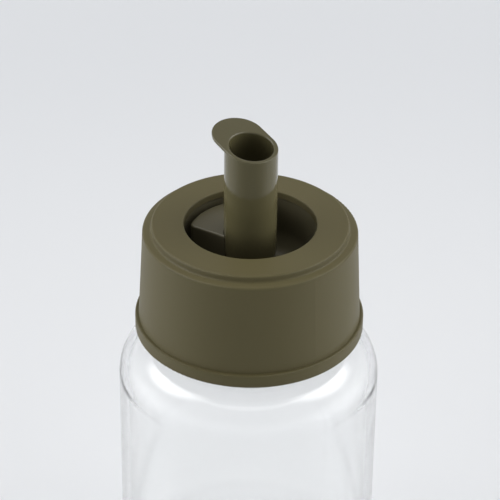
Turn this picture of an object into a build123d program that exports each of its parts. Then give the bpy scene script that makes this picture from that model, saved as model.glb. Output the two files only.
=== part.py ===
"""Soy sauce dispenser: a clear glass bottle with a screw-on closure that carries a pouring tube.

The closure is a stepped outer shell with a threaded collar pressed into it. Between the two a drip well
is trapped, free to turn, so the tube in its middle keeps its direction while the closure is
screwed down. The well presses a gasket on to the bottle's rim, and a restrictor in the tube's foot
slows the flow. A fan-shaped landing in the well catches what drops from the lip.

Frame: origin at the middle of the bottle's base, +Z up, the pouring lip towards -X. Millimetres.
"""

import os
from math import acos, degrees, sqrt

from build123d import *

os.makedirs("parts", exist_ok=True)

# bottle
body_radius = 34.5
shoulder_z = 88.0
shoulder_overrun = 0.5
heel_round = 4.5
glass_wall = 2.4
base_thickness = 6.0
inner_heel_round = 8.0
punt_radius = 28.0
punt_depth = 1.8
neck_radius = 23.5
neck_wall = 3.2
neck_height = 27.1
neck_root_round = 1.4
rim_round = 1.0
bead_width = 2.4
bead_depth = 1.1
bead_above_shoulder = 2.2

# outer shell of the closure
shell_height = 30.77
foot_height = 3.8
foot_step = 0.95
skirt_taper = 1.25
ledge_width = 2.15
ledge_fall = 0.4
ledge_wall = 2.2
disc_step = 1.62
disc_lean = 0.15
skirt_wall = 1.45
disc_wall = 1.85
pocket_inset = 1.8
skirt_edge_round = 0.5
disc_edge_round = 0.5
step_root_round = 0.5
opening_round = 0.25
small_round = 0.4

# threaded collar inside the shell
thread_room = 1.4
collar_wall = 1.4
collar_recess = 3.5
collar_lead_in = 0.7
rib_room = 1.3
rib_count = 24
rib_thickness = 1.0
rib_gap = 0.05

# gasket on the rim
gasket_thickness = 1.5
gasket_inset = 0.3

# drip well
flange_overlap = 1.0
flange_thickness = 1.8
well_setback = 0.15
well_wall = 1.85
well_height = 14.0
well_round = 6.0
floor_fall = 2.9
socket_wall = 1.5
socket_depth = 4.0
drain_radius = 1.2
drain_gap = 0.3
landing_drop = 2.85
landing_gap = 1.15
landing_root_width = 11.6
landing_spread = 0.428
landing_corner_round = 1.5
landing_edge_round = 0.6

# pouring tube
tube_radius = 6.85
tube_wall = 1.2
tube_rise = 22.63
lip_reach = 5.5
lip_slope = 0.172
lip_root_thickness = 0.65
lip_edge_thickness = 0.55
bore_edge_round = 0.35
lip_edge_round = 0.2

# restrictor in the tube's foot
stop_thickness = 1.0
restrictor_flange = 1.0
restrictor_height = 4.0
restrictor_wall = 1.1
orifice_radius = 2.0

# clearances
well_clearance = 1.2
swivel_clearance = 0.2
gasket_clearance = 0.2
socket_clearance = 0.05
plug_clearance = 0.03

# the stack on the bottle's rim sets every height of the closure
rim_z = shoulder_z + neck_height
flange_z = rim_z + gasket_thickness
flange_top_z = flange_z + flange_thickness
ceiling_z = flange_top_z + swivel_clearance
ledge_z = ceiling_z + ledge_wall
disc_z = ledge_z + disc_step
shell_base_z = disc_z - shell_height
foot_top_z = shell_base_z + foot_height
disc_under_z = disc_z - disc_wall
collar_base_z = shell_base_z + collar_recess
collar_top_z = flange_z - swivel_clearance
well_top_z = disc_under_z - swivel_clearance
floor_edge_z = well_top_z - well_height
floor_low_z = floor_edge_z - floor_fall
socket_stop_z = floor_low_z - socket_depth
tube_base_z = socket_stop_z + restrictor_flange
landing_z = disc_z - landing_drop
mouth_z = disc_z + tube_rise

# the shoulder is one arc from the body to just inside the neck
shoulder_round = body_radius - neck_radius + shoulder_overrun
shoulder_arc_z = shoulder_z - shoulder_round
neck_bore = neck_radius - neck_wall
cavity_radius = body_radius - glass_wall
cavity_top_z = shoulder_z - glass_wall

# the closure is sized round the neck, from the collar out to the foot and from the well in to the opening
collar_bore = neck_radius + thread_room
collar_radius = collar_bore + collar_wall
flange_radius = collar_bore + flange_overlap
skirt_foot_radius = collar_radius + rib_room + skirt_wall
foot_radius = skirt_foot_radius + foot_step
skirt_top_radius = skirt_foot_radius - skirt_taper
disc_radius = skirt_top_radius - ledge_width - disc_lean
pocket_radius = disc_radius - pocket_inset
skirt_lean = skirt_taper / (ledge_z - ledge_fall - foot_top_z)
well_radius = neck_bore - well_clearance
well_bore = well_radius - well_wall
opening_radius = well_bore - well_setback
landing_reach = opening_radius - landing_gap
tube_bore = tube_radius - tube_wall
socket_bore = tube_radius + socket_clearance
socket_radius = socket_bore + socket_wall
floor_slope = floor_fall / (well_bore - socket_bore)
floor_drop = well_wall * sqrt(1 + floor_slope**2)
plug_radius = tube_bore - plug_clearance


def skirt_bore(z):
    """Radius of the shell's inside at height z, where the wall follows the skirt's taper."""
    return skirt_foot_radius - skirt_wall - skirt_lean * (z - foot_top_z)


def corner(profile, x, y):
    """The corner of a profile that lies at x, y."""
    return profile.vertices().sort_by_distance((x, y, 0))[0]


# Glass bottle: a straight body with a full round shoulder, a short neck with a bead, a thick base that
# is rounded inside, and a shallow hollow underneath that leaves a standing ring.
with BuildPart() as glass_bottle:
    with BuildSketch(Plane.XZ) as bottle_outline:
        with BuildLine():
            shoulder = CenterArc(
                center=(neck_radius - shoulder_overrun, shoulder_arc_z),
                radius=shoulder_round,
                start_angle=0,
                arc_size=degrees(acos(shoulder_overrun / shoulder_round)),
            )
            Polyline(
                shoulder @ 1,
                (neck_radius, rim_z),
                (0, rim_z),
                (0, 0),
                (body_radius, 0),
                shoulder @ 0,
            )
        make_face()
        fillet(corner(bottle_outline, body_radius, 0), heel_round)
        fillet(corner(bottle_outline, neck_radius, shoulder_z), neck_root_round)
    revolve(axis=Axis.Z)

    with BuildSketch(Plane.XZ):
        with Locations((neck_radius, shoulder_z + bead_above_shoulder + bead_width / 2)):
            RectangleRounded(2 * bead_depth, bead_width, 0.45 * min(2 * bead_depth, bead_width))
    revolve(axis=Axis.Z)

    with BuildSketch(Plane.XZ) as bottle_cavity:
        with BuildLine():
            Polyline(
                (0, base_thickness),
                (cavity_radius, base_thickness),
                (cavity_radius, cavity_top_z),
                (neck_bore, cavity_top_z),
                (neck_bore, rim_z),
                (0, rim_z),
                close=True,
            )
        make_face()
        fillet(corner(bottle_cavity, cavity_radius, base_thickness), inner_heel_round)
        fillet(corner(bottle_cavity, cavity_radius, cavity_top_z), shoulder_round - glass_wall)
        fillet(corner(bottle_cavity, neck_bore, cavity_top_z), neck_root_round)
    revolve(axis=Axis.Z, mode=Mode.SUBTRACT)

    punt_curve_radius = (punt_radius**2 + punt_depth**2) / (2 * punt_depth)
    with Locations((0, 0, punt_depth - punt_curve_radius)):
        Sphere(punt_curve_radius, mode=Mode.SUBTRACT)

    rim_edges = glass_bottle.edges().filter_by(GeomType.CIRCLE).group_by(Axis.Z)[-1]
    fillet(rim_edges, rim_round)
glass_bottle.part.label = "glass_bottle"
export_step(glass_bottle.part, "parts/glass_bottle.step")

# Outer shell: a tapered skirt on a raised foot, a ledge, a disc that stands up from it, and a wide
# opening in the disc. Inside, the wall follows the taper up to a ceiling and a pocket under the disc.
with BuildPart() as cap_shell:
    with BuildSketch(Plane.XZ) as shell_outline:
        with BuildLine():
            Polyline(
                (0, shell_base_z),
                (foot_radius, shell_base_z),
                (foot_radius, foot_top_z),
                (skirt_foot_radius, foot_top_z),
                (skirt_top_radius, ledge_z - ledge_fall),
                (disc_radius + disc_lean, ledge_z),
                (disc_radius, disc_z),
                (0, disc_z),
                close=True,
            )
        make_face()
        fillet(corner(shell_outline, foot_radius, shell_base_z), small_round)
        fillet(corner(shell_outline, foot_radius, foot_top_z), small_round)
        fillet(corner(shell_outline, skirt_top_radius, ledge_z - ledge_fall), skirt_edge_round)
        fillet(corner(shell_outline, disc_radius + disc_lean, ledge_z), step_root_round)
        fillet(corner(shell_outline, disc_radius, disc_z), disc_edge_round)
    revolve(axis=Axis.Z)

    with BuildSketch(Plane.XZ) as shell_cavity:
        with BuildLine():
            Polyline(
                (0, shell_base_z),
                (skirt_bore(shell_base_z), shell_base_z),
                (skirt_bore(ceiling_z), ceiling_z),
                (pocket_radius, ceiling_z),
                (pocket_radius, disc_under_z),
                (0, disc_under_z),
                close=True,
            )
        make_face()
        fillet(corner(shell_cavity, pocket_radius, disc_under_z), small_round)
    revolve(axis=Axis.Z, mode=Mode.SUBTRACT)

    with BuildSketch(Plane.XY.offset(disc_under_z)):
        Circle(opening_radius)
    extrude(amount=disc_wall, mode=Mode.SUBTRACT)
    top_circles = cap_shell.edges().filter_by(GeomType.CIRCLE).group_by(Axis.Z)[-1]
    fillet(top_circles.sort_by(SortBy.RADIUS)[0], opening_round)
cap_shell.part.label = "cap_shell"
export_step(cap_shell.part, "parts/cap_shell.step")

# Threaded collar: the screw ring that grips the neck, held in the shell by upright ribs that are
# trimmed to the inside of the tapered skirt.
with BuildPart() as threaded_collar:
    rib_reach = skirt_foot_radius - collar_radius
    with BuildSketch(Plane.XY.offset(collar_base_z)):
        Circle(collar_radius)
        with PolarLocations(collar_radius, rib_count):
            Rectangle(2 * rib_reach, rib_thickness)
        Circle(collar_bore, mode=Mode.SUBTRACT)
    extrude(amount=collar_top_z - collar_base_z)

    with BuildSketch(Plane.XZ):
        with BuildLine():
            Polyline(
                (0, collar_base_z),
                (skirt_bore(collar_base_z) - rib_gap, collar_base_z),
                (skirt_bore(collar_top_z) - rib_gap, collar_top_z),
                (0, collar_top_z),
                close=True,
            )
        make_face()
    revolve(axis=Axis.Z, mode=Mode.INTERSECT)

    bore_circles = threaded_collar.edges().filter_by(GeomType.CIRCLE).sort_by(SortBy.RADIUS)[0:2]
    chamfer(bore_circles.sort_by(Axis.Z)[0], collar_lead_in)
threaded_collar.part.label = "threaded_collar"
export_step(threaded_collar.part, "parts/threaded_collar.step")

# Gasket: a flat rubber ring on the bottle's rim, centred by the drip well.
with BuildPart() as sealing_gasket:
    with BuildSketch(Plane.XY.offset(rim_z)):
        Circle(neck_radius - gasket_inset)
        Circle(well_radius + gasket_clearance, mode=Mode.SUBTRACT)
    extrude(amount=gasket_thickness)
sealing_gasket.part.label = "sealing_gasket"
export_step(sealing_gasket.part, "parts/sealing_gasket.step")

# Drip well: a deep round bowl under the shell's opening. Its flange lies on the gasket and its floor
# falls towards a drain hole beside the socket that takes the tube. Under the pouring lip a fan-shaped
# landing stands in the bowl, a narrow groove away from its wall, and is hollow from below.
with BuildPart() as well_room:
    with BuildSketch(Plane.XZ) as room_outline:
        with BuildLine():
            Polyline(
                (0, floor_low_z),
                (socket_bore, floor_low_z),
                (well_bore, floor_edge_z),
                (well_bore, well_top_z),
                (0, well_top_z),
                close=True,
            )
        make_face()
        fillet(corner(room_outline, well_bore, floor_edge_z), well_round)
    revolve(axis=Axis.Z)

    landing_end_width = landing_root_width + 2 * landing_spread * landing_reach
    with BuildSketch(Plane.XY.offset(floor_low_z)) as landing_outline:
        with BuildLine():
            Polyline(
                (0, -landing_root_width / 2),
                (-landing_reach, -landing_end_width / 2),
                (-landing_reach, landing_end_width / 2),
                (0, landing_root_width / 2),
                close=True,
            )
        make_face()
        Circle(landing_reach, mode=Mode.INTERSECT)
        fillet(landing_outline.vertices().group_by(Axis.X)[0], landing_corner_round)
    extrude(amount=landing_z - floor_low_z, mode=Mode.SUBTRACT)

with BuildPart() as drip_well:
    with BuildSketch(Plane.XZ):
        with BuildLine():
            Polyline(
                (0, socket_stop_z - stop_thickness),
                (socket_radius, socket_stop_z - stop_thickness),
                (socket_radius, floor_low_z + floor_slope * socket_wall - floor_drop),
                (well_radius, floor_edge_z + floor_slope * well_wall - floor_drop),
                (well_radius, flange_z),
                (flange_radius, flange_z),
                (flange_radius, flange_top_z),
                (well_radius, flange_top_z),
                (well_radius, well_top_z),
                (0, well_top_z),
                close=True,
            )
        make_face()
    revolve(axis=Axis.Z)
    add(well_room.part, mode=Mode.SUBTRACT)
    landing_edges = drip_well.edges().filter_by_position(Axis.Z, landing_z, landing_z)
    fillet(landing_edges, landing_edge_round)

    with BuildSketch(Plane.XY.offset(socket_stop_z)):
        add(landing_outline.sketch)
        offset(amount=-well_wall)
        Circle(socket_radius, mode=Mode.SUBTRACT)
    extrude(amount=landing_z - well_wall - socket_stop_z, mode=Mode.SUBTRACT)

    with BuildSketch(Plane.XY.offset(socket_stop_z)):
        Circle(socket_bore)
    extrude(amount=well_top_z - socket_stop_z, mode=Mode.SUBTRACT)

    with BuildSketch(Plane.XY.offset(socket_stop_z - stop_thickness)):
        Circle(tube_bore)
    extrude(amount=stop_thickness, mode=Mode.SUBTRACT)

    with BuildSketch(Plane.XY.offset(floor_low_z - floor_drop)):
        with Locations((socket_radius + drain_gap + drain_radius, 0)):
            Circle(drain_radius)
    extrude(amount=floor_drop + floor_fall, mode=Mode.SUBTRACT)
drip_well.part.label = "drip_well"
export_step(drip_well.part, "parts/drip_well.step")

# Pouring tube: a straight tube with a slanted mouth. On one side the mouth is drawn out into a thin
# flat lip that thickens a little towards the tube.
lip_tip = tube_radius + lip_reach
under_slope = lip_slope + (lip_root_thickness - lip_edge_thickness) / lip_reach
mouth_plane = Plane(origin=(0, 0, mouth_z), x_dir=(1, 0, -lip_slope), z_dir=(lip_slope, 0, 1))
under_plane = Plane(
    origin=(-lip_tip, 0, mouth_z + lip_slope * lip_tip - lip_edge_thickness),
    x_dir=(1, 0, -under_slope),
    z_dir=(under_slope, 0, 1),
)

with BuildPart() as pour_tube:
    with BuildSketch(Plane.XY.offset(mouth_z - lip_tip)):
        with Locations((-lip_reach / 2, 0)):
            SlotCenterToCenter(lip_reach, 2 * tube_radius)
    extrude(amount=2 * lip_tip)
    split(bisect_by=under_plane, keep=Keep.TOP)

    with BuildSketch(Plane.XY.offset(tube_base_z)):
        Circle(tube_radius)
    extrude(amount=mouth_z + lip_tip - tube_base_z)
    split(bisect_by=mouth_plane, keep=Keep.BOTTOM)
    mouth_axis = Axis((0, 0, 0), mouth_plane.z_dir)
    lip_edge = pour_tube.faces().sort_by(mouth_axis)[-1].outer_wire().edges()
    fillet(lip_edge, lip_edge_round)

    with BuildSketch(Plane.XY.offset(tube_base_z)):
        Circle(tube_bore)
    extrude(amount=mouth_z + lip_tip - tube_base_z, mode=Mode.SUBTRACT)
    bore_edge = pour_tube.faces().sort_by(mouth_axis)[-1].inner_wires()[0].edges()
    fillet(bore_edge, bore_edge_round)
pour_tube.part.label = "pour_tube"
export_step(pour_tube.part, "parts/pour_tube.step")

# Restrictor: a plug in the tube's foot with one narrow hole, so the sauce leaves in a thin stream. Its
# flange is held between the socket's stop and the tube's end.
with BuildPart() as pour_restrictor:
    with BuildSketch(Plane.XZ):
        with BuildLine():
            Polyline(
                (plug_radius - restrictor_wall, socket_stop_z),
                (tube_radius, socket_stop_z),
                (tube_radius, tube_base_z),
                (plug_radius, tube_base_z),
                (plug_radius, tube_base_z + restrictor_height - restrictor_wall / 2),
                (plug_radius - restrictor_wall / 2, tube_base_z + restrictor_height),
                (orifice_radius, tube_base_z + restrictor_height),
                (orifice_radius, tube_base_z + restrictor_height - restrictor_wall),
                (plug_radius - restrictor_wall, tube_base_z + restrictor_height - restrictor_wall),
                close=True,
            )
        make_face()
    revolve(axis=Axis.Z)
pour_restrictor.part.label = "pour_restrictor"
export_step(pour_restrictor.part, "parts/pour_restrictor.step")
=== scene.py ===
import math

import bmesh
import bpy
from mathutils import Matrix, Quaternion, Vector


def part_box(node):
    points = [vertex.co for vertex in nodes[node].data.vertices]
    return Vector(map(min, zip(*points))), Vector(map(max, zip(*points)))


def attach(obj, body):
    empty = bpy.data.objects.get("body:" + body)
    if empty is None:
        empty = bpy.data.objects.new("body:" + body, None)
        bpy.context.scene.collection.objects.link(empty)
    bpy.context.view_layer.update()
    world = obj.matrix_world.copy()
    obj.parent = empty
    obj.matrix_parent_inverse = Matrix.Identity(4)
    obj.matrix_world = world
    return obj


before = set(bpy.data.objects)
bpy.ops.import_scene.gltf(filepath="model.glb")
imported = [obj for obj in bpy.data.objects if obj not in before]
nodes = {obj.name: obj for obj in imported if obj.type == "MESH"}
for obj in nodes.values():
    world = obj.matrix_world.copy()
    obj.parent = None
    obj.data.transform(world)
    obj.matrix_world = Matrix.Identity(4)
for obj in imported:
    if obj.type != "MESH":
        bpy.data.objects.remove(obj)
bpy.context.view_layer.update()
mm = 0.001

print("frame loaded:", len(nodes), "nodes")


# camera: the photograph's viewing angle, with a long lens
cameraView = {
    "azimuth": 54.0,  # degrees, 0 looks along +Y
    "elevation": 32.55,
    "distance": 0.6,
    "lookAt": (0.0, 0.0, 0.1141),
    "roll": 0.7,
    "lens": 166.9,
    "sensor": 36.0,
    "nearClip": 0.01,
}


def cameraDirections(spec):
    turn = math.radians(spec["azimuth"])
    tilt = math.radians(spec["elevation"])
    right = Vector((math.cos(turn), math.sin(turn), 0))
    away = Vector((-math.sin(turn), math.cos(turn), 0))
    back = Vector((
        math.sin(turn) * math.cos(tilt),
        -math.cos(turn) * math.cos(tilt),
        math.sin(tilt),
    ))
    return back, right, away


def makeCamera(spec):
    back, _, _ = cameraDirections(spec)
    data = bpy.data.cameras.new("camera")
    data.lens = spec["lens"]
    data.sensor_width = spec["sensor"]
    data.clip_start = spec["nearClip"]
    camera = bpy.data.objects.new("camera", data)
    bpy.context.scene.collection.objects.link(camera)
    camera.location = Vector(spec["lookAt"]) + back * spec["distance"]
    facing = back.to_track_quat("Z", "Y") @ Quaternion((0, 0, 1), math.radians(spec["roll"]))
    camera.rotation_euler = facing.to_euler()
    bpy.context.scene.camera = camera


makeCamera(cameraView)
print("camera placed")


# node helpers: a value is a number, a colour or the output of another node
def feed(tree, node, values):
    for key, value in values.items():
        socket = node.inputs[key]
        if isinstance(value, (int, float)):
            socket.default_value = value
        elif isinstance(value, tuple):
            socket.default_value = (*value, 1)
        else:
            tree.links.new(value, socket)


def addMath(tree, operation, *values):
    node = tree.nodes.new("ShaderNodeMath")
    node.operation = operation
    feed(tree, node, dict(enumerate(values)))
    return node.outputs[0]


def addVectorMath(tree, operation, vector):
    node = tree.nodes.new("ShaderNodeVectorMath")
    node.operation = operation
    feed(tree, node, {0: vector})
    return node


def addFacing(tree, direction, axis):
    facing = addVectorMath(tree, "DOT_PRODUCT", direction)
    facing.inputs[1].default_value = axis
    return facing.outputs["Value"]


def addRamp(tree, value, start, end, low=0.0, high=1.0):
    ramp = tree.nodes.new("ShaderNodeMapRange")
    ramp.interpolation_type = "SMOOTHSTEP"
    limits = {"From Min": start, "From Max": end, "To Min": low, "To Max": high}
    feed(tree, ramp, {"Value": value, **limits})
    return ramp.outputs["Result"]


def addMix(tree, factor, first, second, blendType="MIX"):
    mix = tree.nodes.new("ShaderNodeMix")
    mix.data_type = "RGBA"
    mix.blend_type = blendType
    feed(tree, mix, {"Factor": factor, "A": first, "B": second})
    return mix.outputs["Result"]


def mixShaders(tree, factor, first, second):
    mix = tree.nodes.new("ShaderNodeMixShader")
    feed(tree, mix, {0: factor, 1: first, 2: second})
    return mix.outputs[0]


# light: a world that is brightest at the sides, two soft glows and one lamp overhead,
# all at a plain level
worldLight = {
    "fill": (0.98, 0.99, 1.0),
    "fillStrength": 0.05,
    "sideStrength": 7.1,
    "sideFocus": 4.6,
    "backdrop": (0.770, 0.785, 0.806),
    "ceiling": (0.45, 0.46, 0.47),
    "backdropStrength": 1.0,
    "backdropTop": 0.2,  # sine of the angle above level where the backdrop starts to darken
    "ceilingFrom": 0.55,  # and where it has become the ceiling
    "glowTone": (0.8, 0.8, 0.8),
    "glowShare": 0.20,  # how much of the glows reaches all but mirror rays
}

sideGlows = {  # turn is measured round the object from the viewing side, rise above the level
    "left": {"turn": -110.0, "rise": 51.0, "core": 3.0, "edge": 28.0, "strength": 5.2},
    "right": {"turn": 110.0, "rise": 51.0, "core": 3.0, "edge": 28.0, "strength": 5.2},
}

topLamp = {"height": 3.0, "size": 3.0, "power": 42.0}


def glowDirection(spec):
    _, right, away = cameraDirections(cameraView)
    turn, rise = math.radians(spec["turn"]), math.radians(spec["rise"])
    level = right * math.sin(turn) - away * math.cos(turn)
    return level * math.cos(rise) + Vector((0, 0, math.sin(rise)))


def addGlow(tree, direction, spec):
    facing = addFacing(tree, direction, glowDirection(spec))
    edge, core = (math.cos(math.radians(spec[label])) for label in ("edge", "core"))
    return addRamp(tree, facing, edge, core, high=spec["strength"])


def addBackground(tree, tone, strength):
    background = tree.nodes.new("ShaderNodeBackground")
    feed(tree, background, {"Color": tone, "Strength": strength})
    return background.outputs[0]


def makeWorld(spec, glows):
    world = bpy.data.worlds.new("studio")
    bpy.context.scene.world = world
    world.use_nodes = True
    tree = world.node_tree
    tree.nodes.clear()
    rays = tree.nodes.new("ShaderNodeLightPath").outputs
    direction = tree.nodes.new("ShaderNodeTexCoord").outputs["Generated"]
    parts = tree.nodes.new("ShaderNodeSeparateXYZ")
    feed(tree, parts, {0: direction})
    height = parts.outputs["Z"]

    # matt surfaces get the fill and the sides
    _, right, _ = cameraDirections(cameraView)
    across = addMath(tree, "ABSOLUTE", addFacing(tree, direction, right))
    sideways = addMath(tree, "POWER", across, spec["sideFocus"])
    lowSides = addMath(tree, "MULTIPLY", sideways, addMath(tree, "SUBTRACT", 1.0, height))
    sides = addMath(tree, "MULTIPLY", lowSides, spec["sideStrength"])
    fill = addBackground(tree, spec["fill"], addMath(tree, "ADD", sides, spec["fillStrength"]))

    # the camera, reflections and glass see the backdrop
    darkening = addRamp(tree, height, spec["backdropTop"], spec["ceilingFrom"])
    shade = addMix(tree, darkening, spec["backdrop"], spec["ceiling"])
    backdrop = addBackground(tree, shade, spec["backdropStrength"])
    seen = addMath(tree, "MAXIMUM", rays["Is Camera Ray"], rays["Is Glossy Ray"])
    seen = addMath(tree, "MAXIMUM", seen, rays["Is Transmission Ray"])
    room = mixShaders(tree, seen, fill, backdrop)

    # reflections see the glows in full, other rays a share of them, the camera none
    both = addMath(tree, "ADD", *(addGlow(tree, direction, glow) for glow in glows.values()))
    mirrored = addMath(tree, "MAXIMUM", rays["Is Glossy Ray"], spec["glowShare"])
    hidden = addMath(tree, "SUBTRACT", 1.0, rays["Is Camera Ray"])
    reached = addMath(tree, "MULTIPLY", addMath(tree, "MULTIPLY", both, mirrored), hidden)
    glowing = addBackground(tree, spec["glowTone"], reached)

    total = tree.nodes.new("ShaderNodeAddShader")
    feed(tree, total, {0: room, 1: glowing})
    output = tree.nodes.new("ShaderNodeOutputWorld")
    feed(tree, output, {"Surface": total.outputs[0]})


def makeTopLamp(spec):
    data = bpy.data.lights.new("topLamp", "AREA")
    data.shape = "DISK"
    data.size = spec["size"]
    data.energy = spec["power"]
    lamp = bpy.data.objects.new("topLamp", data)
    bpy.context.scene.collection.objects.link(lamp)
    lamp.location = (0, 0, spec["height"])
    lamp.visible_camera = False
    lamp.visible_glossy = False


makeWorld(worldLight, sideGlows)
makeTopLamp(topLamp)
print("lights placed")


# shader groups shared by several materials
def makeGroup(name, inputs, outputLabel, outputKind):
    tree = bpy.data.node_groups.new(name, "ShaderNodeTree")
    for label, value in inputs.items():
        colour = isinstance(value, tuple)
        kind = "NodeSocketColor" if colour else "NodeSocketFloat"
        socket = tree.interface.new_socket(name=label, in_out="INPUT", socket_type=kind)
        socket.default_value = (*value, 1) if colour else value
    tree.interface.new_socket(name=outputLabel, in_out="OUTPUT", socket_type=outputKind)
    entry = tree.nodes.new("NodeGroupInput").outputs
    return tree, entry, tree.nodes.new("NodeGroupOutput")


def addNoise(tree, scale, detail, roughness=0.5, stretch=(1, 1, 1)):
    place = tree.nodes.new("ShaderNodeTexCoord")
    mapping = tree.nodes.new("ShaderNodeMapping")
    mapping.inputs["Scale"].default_value = stretch
    feed(tree, mapping, {"Vector": place.outputs["Object"]})
    noise = tree.nodes.new("ShaderNodeTexNoise")
    values = {"Vector": mapping.outputs[0], "Scale": scale, "Detail": detail}
    feed(tree, noise, {**values, "Roughness": roughness})
    return noise.outputs["Fac"]


def makeGrainGroup():
    # the fine pitted skin that a spark-eroded mould leaves, over a slower unevenness
    defaults = {"Grain Scale": 3000.0, "Swell Scale": 120.0, "Swell Share": 0.3}
    tree, entry, result = makeGroup("mouldedGrain", defaults, "Height", "NodeSocketFloat")
    grain = addNoise(tree, entry["Grain Scale"], detail=3.0, roughness=0.6)
    swell = addNoise(tree, entry["Swell Scale"], detail=1.0)
    height = addMath(tree, "MULTIPLY_ADD", swell, entry["Swell Share"], grain)
    feed(tree, result, {"Height": height})
    return tree


def makeToneGroup():
    # slow drift between two tones with a fine fleck, as in coloured plastic
    defaults = {
        "Light Tone": (0.1, 0.1, 0.1), "Deep Tone": (0.05, 0.05, 0.05),
        "Drift Scale": 45.0, "Fleck Scale": 2400.0, "Fleck Share": 0.2,
    }
    noiseMiddle = 0.5
    tree, entry, result = makeGroup("toneDrift", defaults, "Color", "NodeSocketColor")
    drift = addNoise(tree, entry["Drift Scale"], detail=2.0)
    fleck = addNoise(tree, entry["Fleck Scale"], detail=1.0)
    centred = addMath(tree, "SUBTRACT", fleck, noiseMiddle)
    level = addMath(tree, "MULTIPLY_ADD", centred, entry["Fleck Share"], drift)
    feed(tree, result, {"Color": addMix(tree, level, entry["Light Tone"], entry["Deep Tone"])})
    return tree


def makeSheenGroup():
    # roughness that wanders between two limits, as handling and wiping leave it
    defaults = {"Least": 0.3, "Most": 0.4, "Scale": 90.0}
    tree, entry, result = makeGroup("handledGloss", defaults, "Roughness", "NodeSocketFloat")
    smear = addNoise(tree, entry["Scale"], detail=4.0, roughness=0.6, stretch=(1, 1, 0.5))
    spread = addMath(tree, "SUBTRACT", entry["Most"], entry["Least"])
    level = addMath(tree, "MULTIPLY_ADD", smear, spread, entry["Least"])
    feed(tree, result, {"Roughness": level})
    return tree


grainGroup = makeGrainGroup()
toneGroup = makeToneGroup()
sheenGroup = makeSheenGroup()


def placeGroup(tree, group, values):
    node = tree.nodes.new("ShaderNodeGroup")
    node.node_tree = group
    feed(tree, node, values)
    return node.outputs[0]


def softEdge(tree, radius, samples=6):
    bevel = tree.nodes.new("ShaderNodeBevel")
    bevel.samples = samples
    feed(tree, bevel, {"Radius": radius})
    return bevel.outputs["Normal"]


def addBump(tree, height, distance, strength=1.0):
    bump = tree.nodes.new("ShaderNodeBump")
    feed(tree, bump, {"Height": height, "Strength": strength, "Distance": distance})
    return bump


def startMaterial(name):
    material = bpy.data.materials.new(name)
    material.use_nodes = True
    return material, material.node_tree, material.node_tree.nodes["Principled BSDF"]


# plastics: every one has a tone, a gloss and a moulded skin
plastics = {
    "satin_shell": {
        "tone": {"Light Tone": (0.096, 0.082, 0.036), "Deep Tone": (0.086, 0.073, 0.032),
                 "Drift Scale": 38.0, "Fleck Scale": 2600.0, "Fleck Share": 0.5},
        "gloss": {"Least": 0.46, "Most": 0.54, "Scale": 70.0},
        "skin": {"Grain Scale": 3200.0, "Swell Scale": 90.0, "Swell Share": 0.6},
        "skinDepth": 0.010 * mm, "edge": 0.25 * mm, "ior": 1.34,
    },
    "satin_well": {
        "tone": {"Light Tone": (0.102, 0.091, 0.055), "Deep Tone": (0.092, 0.082, 0.049),
                 "Drift Scale": 50.0, "Fleck Scale": 2200.0, "Fleck Share": 0.3},
        "gloss": {"Least": 0.26, "Most": 0.34, "Scale": 90.0},
        "skin": {"Grain Scale": 2600.0, "Swell Scale": 110.0, "Swell Share": 0.6},
        "skinDepth": 0.008 * mm, "edge": 0.2 * mm, "ior": 1.36,
    },
    "gloss_plastic": {
        "tone": {"Light Tone": (0.096, 0.085, 0.042), "Deep Tone": (0.086, 0.076, 0.037),
                 "Drift Scale": 60.0, "Fleck Scale": 1800.0, "Fleck Share": 0.2},
        "gloss": {"Least": 0.04, "Most": 0.08, "Scale": 110.0},
        "skin": {"Grain Scale": 900.0, "Swell Scale": 140.0, "Swell Share": 1.0},
        "skinDepth": 0.006 * mm, "edge": 0.15 * mm, "ior": 1.46,
    },
    "collar_plastic": {
        "tone": {"Light Tone": (0.085, 0.078, 0.046), "Deep Tone": (0.070, 0.064, 0.037),
                 "Drift Scale": 50.0, "Fleck Scale": 2000.0, "Fleck Share": 0.3},
        "gloss": {"Least": 0.34, "Most": 0.46, "Scale": 100.0},
        "skin": {"Grain Scale": 2400.0, "Swell Scale": 120.0, "Swell Share": 0.5},
        "skinDepth": 0.008 * mm, "edge": 0.12 * mm, "ior": 1.46,
    },
    "restrictor_plastic": {
        "tone": {"Light Tone": (0.050, 0.046, 0.030), "Deep Tone": (0.040, 0.037, 0.024),
                 "Drift Scale": 120.0, "Fleck Scale": 2400.0, "Fleck Share": 0.3},
        "gloss": {"Least": 0.30, "Most": 0.42, "Scale": 160.0},
        "skin": {"Grain Scale": 2600.0, "Swell Scale": 200.0, "Swell Share": 0.5},
        "skinDepth": 0.006 * mm, "edge": 0.1 * mm, "ior": 1.46,
    },
}


def makeMoulded(name, spec):
    material, tree, shader = startMaterial(name)
    bump = addBump(tree, placeGroup(tree, grainGroup, spec["skin"]), spec["skinDepth"])
    feed(tree, bump, {"Normal": softEdge(tree, spec["edge"])})
    feed(tree, shader, {
        "Base Color": placeGroup(tree, toneGroup, spec["tone"]),
        "Roughness": placeGroup(tree, sheenGroup, spec["gloss"]),
        "IOR": spec["ior"],
        "Normal": bump.outputs["Normal"],
    })
    return material


# silicone: milky, matte, a little light goes into it
silicone = {
    "tone": {"Light Tone": (0.74, 0.74, 0.70), "Deep Tone": (0.66, 0.66, 0.62),
             "Drift Scale": 80.0, "Fleck Scale": 3000.0, "Fleck Share": 0.2},
    "gloss": {"Least": 0.45, "Most": 0.6, "Scale": 200.0},
    "skin": {"Grain Scale": 2200.0, "Swell Scale": 150.0, "Swell Share": 0.8},
    "skinDepth": 0.008 * mm, "edge": 0.2 * mm, "ior": 1.5,
    "depth": {"Subsurface Weight": 0.35, "Subsurface Scale": 1.2 * mm},
}


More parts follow.
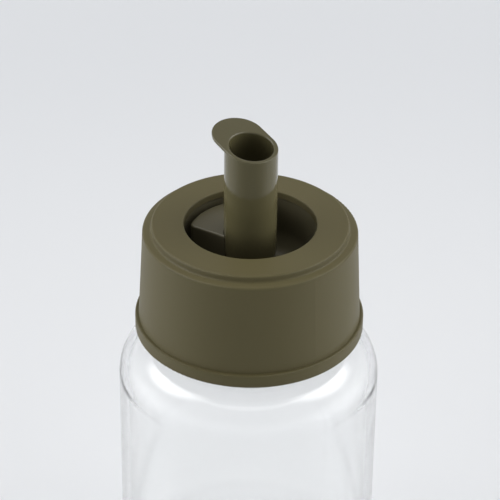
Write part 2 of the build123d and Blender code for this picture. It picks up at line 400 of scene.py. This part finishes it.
def makeSilicone(name, spec):
    material = makeMoulded(name, spec)
    tree = material.node_tree
    feed(tree, tree.nodes["Principled BSDF"], spec["depth"])
    return material


# glass: clear, with the slow waviness of blown ware and the faint haze of a handled bottle
glass = {
    "clear": {"Base Color": (0.996, 0.999, 0.998), "IOR": 1.45, "Transmission Weight": 1.0},
    "haze": {"Coat Weight": 0.6, "Coat Roughness": 0.30, "Coat IOR": 1.5},
    "shadowTint": (0.990, 0.993, 0.992),
    "gloss": {"Least": 0.05, "Most": 0.09, "Scale": 60.0},
    "skin": {"Grain Scale": 260.0, "Swell Scale": 60.0, "Swell Share": 3.0},
    "skinDepth": 0.02 * mm,
    "skinStrength": 0.5,
}


def makeGlass(name, spec):
    material, tree, shader = startMaterial(name)
    skin = placeGroup(tree, grainGroup, spec["skin"])
    bump = addBump(tree, skin, spec["skinDepth"], spec["skinStrength"])
    feed(tree, shader, {**spec["clear"], **spec["haze"]})
    feed(tree, shader, {
        "Roughness": placeGroup(tree, sheenGroup, spec["gloss"]),
        "Normal": bump.outputs["Normal"],
    })
    rays = tree.nodes.new("ShaderNodeLightPath").outputs
    passing = tree.nodes.new("ShaderNodeBsdfTransparent")
    feed(tree, passing, {"Color": spec["shadowTint"]})
    shaders = shader.outputs["BSDF"], passing.outputs["BSDF"]
    surface = mixShaders(tree, rays["Is Shadow Ray"], *shaders)
    feed(tree, tree.nodes["Material Output"], {"Surface": surface})
    return material


materials = {name: makeMoulded(name, spec) for name, spec in plastics.items()}
materials["silicone"] = makeSilicone("silicone", silicone)
materials["clear_glass"] = makeGlass("clear_glass", glass)

nodeFinish = {
    "glass_bottle": "clear_glass",
    "cap_shell": "satin_shell",
    "threaded_collar": "collar_plastic",
    "sealing_gasket": "silicone",
    "drip_well": "satin_well",
    "pour_tube": "gloss_plastic",
    "pour_restrictor": "restrictor_plastic",
}


def dress(piece, finish):
    piece.data.materials.clear()
    piece.data.materials.append(materials[finish])


for nodeName, finish in nodeFinish.items():
    if nodeName in nodes:
        dress(nodes[nodeName], finish)
print("materials made:", len(materials))


# threads: one helix on the neck and one in the collar, half a lead apart
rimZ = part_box("glass_bottle")[1][2]

neckThread = {
    "root": 23.5 * mm, "reach": 0.95 * mm, "sunk": 0.05 * mm,
    "rootWidth": 1.3 * mm, "tipWidth": 0.55 * mm,
    "startZ": rimZ - 13.5 * mm, "startAngle": 0.6, "turns": 2.5, "outward": 1,
}

collarThread = {
    "root": 24.9 * mm, "reach": 0.9 * mm, "sunk": 0.05 * mm,
    "rootWidth": 1.2 * mm, "tipWidth": 0.5 * mm,
    "startZ": rimZ - 12.0 * mm, "startAngle": 0.6, "turns": 2.0, "outward": -1,
}

threadForm = {
    "lead": 3.0 * mm,
    "stepsPerTurn": 96,
    "fadeTurns": 0.12,  # each end grows out of the wall over this much of a turn
    "endReach": 0.06,
    "endWidth": 0.5,
    "footReach": 0.08,  # shares of the reach, and of the width at the tip
    "flankReach": 0.75, "flankWidth": 1.25,
    "crestReach": 0.95, "crestWidth": 0.8,
}


def finishMesh(name, mesh):
    data = bpy.data.meshes.new(name)
    bmesh.ops.recalc_face_normals(mesh, faces=mesh.faces)
    mesh.to_mesh(data)
    mesh.free()
    data.shade_smooth()
    piece = bpy.data.objects.new(name, data)
    bpy.context.scene.collection.objects.link(piece)
    return piece


def threadProfile(spec, form):
    halfRoot, halfTip = spec["rootWidth"] / 2, spec["tipWidth"] / 2
    upper = [
        (spec["reach"] * form["crestReach"], halfTip * form["crestWidth"]),
        (spec["reach"] * form["flankReach"], halfTip * form["flankWidth"]),
        (spec["reach"] * form["footReach"], halfRoot),
        (-spec["sunk"], halfRoot),
    ]
    lower = [(depth, -offset) for depth, offset in reversed(upper)]
    return [*lower, (spec["reach"], 0), *upper]


def makeThread(name, spec, form):
    mesh = bmesh.new()
    profile = threadProfile(spec, form)
    steps = int(spec["turns"] * form["stepsPerTurn"])
    rings = []
    for step in range(steps + 1):
        turned = spec["turns"] * step / steps
        fromEnd = min(turned, spec["turns"] - turned) / form["fadeTurns"]
        rise = math.sin(min(fromEnd, 1.0) * math.pi / 2)
        grown = form["endReach"] + (1 - form["endReach"]) * rise
        widened = form["endWidth"] + (1 - form["endWidth"]) * grown
        angle = spec["startAngle"] + turned * math.tau
        middle = spec["startZ"] + turned * form["lead"]
        ring = []
        for depth, offset in profile:
            radius = spec["root"] + spec["outward"] * (depth * grown if depth > 0 else depth)
            point = (radius * math.cos(angle), radius * math.sin(angle), middle + offset * widened)
            ring.append(mesh.verts.new(point))
        rings.append(ring)
    for lower, upper in zip(rings, rings[1:]):
        for index in range(len(profile)):
            after = (index + 1) % len(profile)
            mesh.faces.new((lower[index], lower[after], upper[after], upper[index]))
    mesh.faces.new(rings[0])
    mesh.faces.new(rings[-1])
    return finishMesh(name, mesh)


neckThreadPiece = makeThread("neck_thread", neckThread, threadForm)
dress(neckThreadPiece, "clear_glass")
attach(neckThreadPiece, "bottle")

collarThreadPiece = makeThread("collar_thread", collarThread, threadForm)
dress(collarThreadPiece, "collar_plastic")
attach(collarThreadPiece, "screw_cap")
print("threads cut")


# floor: one pale sheet that keeps the shadow
floorSpec = {
    "radius": 3.2,
    "rings": 24,
    "segments": 96,
    "spread": 2,  # the rings lie closer together near the middle
    "tone": {"Light Tone": (0.806, 0.816, 0.834), "Deep Tone": (0.791, 0.801, 0.819),
             "Drift Scale": 3.0, "Fleck Scale": 900.0, "Fleck Share": 0.1},
    "farPaintedShade": (0.915, 0.920, 0.928),  # painted shade: the sheet's colour darkens a little from near to far, in place of light falling off
    "near": 0.12,
    "far": 0.36,
    "fadeFrom": 1.0,  # from here out the sheet melts into the backdrop
    "fadeTo": 3.0,
    "frontReflectionShade": (0.42, 0.42, 0.40),  # painted shade seen only in reflections: the sheet is darker towards the front, in place of a darker room there
    "frontFrom": 0.1,
    "frontTo": 0.94,
    "surface": {"Roughness": 0.7, "Specular IOR Level": 0.1},
}


def makeFloorPaper(spec):
    material, tree, shader = startMaterial("floorPaper")
    place = tree.nodes.new("ShaderNodeTexCoord").outputs["Object"]
    rays = tree.nodes.new("ShaderNodeLightPath").outputs
    reach = addVectorMath(tree, "LENGTH", place).outputs["Value"]
    heading = addVectorMath(tree, "NORMALIZE", place).outputs["Vector"]
    _, _, away = cameraDirections(cameraView)

    tone = placeGroup(tree, toneGroup, spec["tone"])
    # painted shade: the sheet's colour darkens with distance from the middle, in place of light
    # falling off
    fall = addRamp(tree, reach, spec["near"], spec["far"])
    paintedFalloff = addMix(tree, fall, tone, spec["farPaintedShade"], "MULTIPLY")

    # painted shade for reflections only: the sheet darkens towards the front, in place of a darker
    # room
    ahead = addRamp(tree, addFacing(tree, heading, -away), spec["frontFrom"], spec["frontTo"])
    mirrored = addMath(tree, "SUBTRACT", rays["Is Glossy Ray"], rays["Is Transmission Ray"])
    shade = addMath(tree, "MULTIPLY", ahead, addMath(tree, "MAXIMUM", mirrored, 0.0))
    reflectionShaded = addMix(tree, shade, paintedFalloff, spec["frontReflectionShade"], "MULTIPLY")

    fade = addRamp(tree, reach, spec["fadeFrom"], spec["fadeTo"], low=1.0, high=0.0)
    feed(tree, shader, {"Base Color": reflectionShaded, "Alpha": fade, **spec["surface"]})
    return material


def makeFloor(spec):
    mesh = bmesh.new()
    middle = mesh.verts.new((0, 0, 0))
    count = spec["segments"]
    angles = [math.tau * index / count for index in range(count)]
    rings = []
    for ringIndex in range(1, spec["rings"] + 1):
        radius = spec["radius"] * (ringIndex / spec["rings"]) ** spec["spread"]
        rings.append([
            mesh.verts.new((radius * math.cos(angle), radius * math.sin(angle), 0))
            for angle in angles
        ])
    for index in range(count):
        after = (index + 1) % count
        mesh.faces.new((middle, rings[0][index], rings[0][after]))
        for inner, outer in zip(rings, rings[1:]):
            mesh.faces.new((inner[index], outer[index], outer[after], inner[after]))
    floor = finishMesh("floor", mesh)
    floor.data.materials.append(makeFloorPaper(spec))
    return floor


floorPiece = makeFloor(floorSpec)
print("floor laid")

bpy.context.scene.view_settings.view_transform = "Standard"
